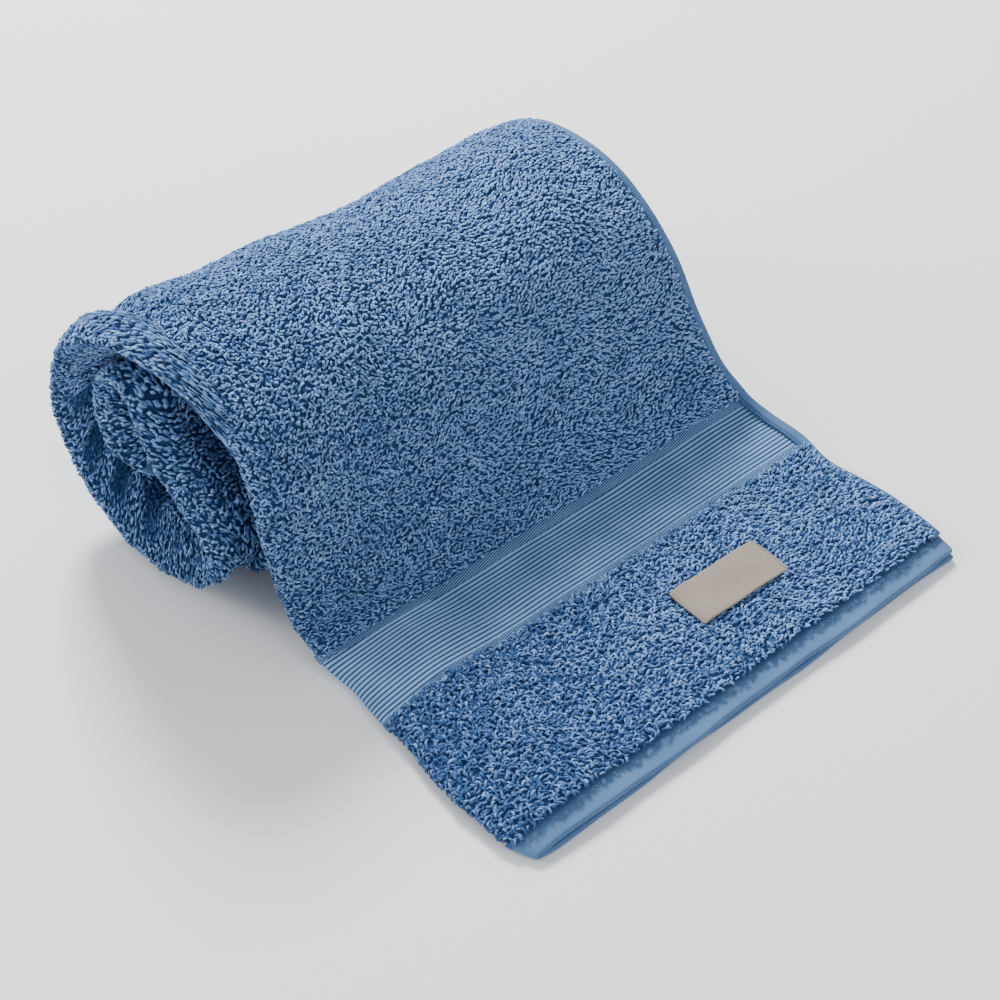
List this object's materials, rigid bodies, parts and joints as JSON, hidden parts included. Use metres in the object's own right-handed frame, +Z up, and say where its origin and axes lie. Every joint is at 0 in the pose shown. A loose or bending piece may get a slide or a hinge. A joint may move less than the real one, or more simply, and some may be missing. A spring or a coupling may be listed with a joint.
{
  "type": "rolled face towel",
  "caption": "Terry face towel, folded in half along its length and loosely rolled, with its loose end laid flat in front and a plain woven label on it",
  "frame": {"origin": "middle of the towel's box seen from above, on the surface that it rests on", "axes": "+X along the roll, from the folded edge to the selvages; +Y from the loose end's hem to the back of the roll; +Z up"},
  "size_m": [0.2836, 0.2898, 0.1276],
  "materials": {
    "terry": "looped terry pile with flat woven bands",
    "label_tape": "flat woven tape"
  },
  "bodies": {
    "root": {"towel": "terry", "label": "label_tape"}
  },
  "joints": []
}
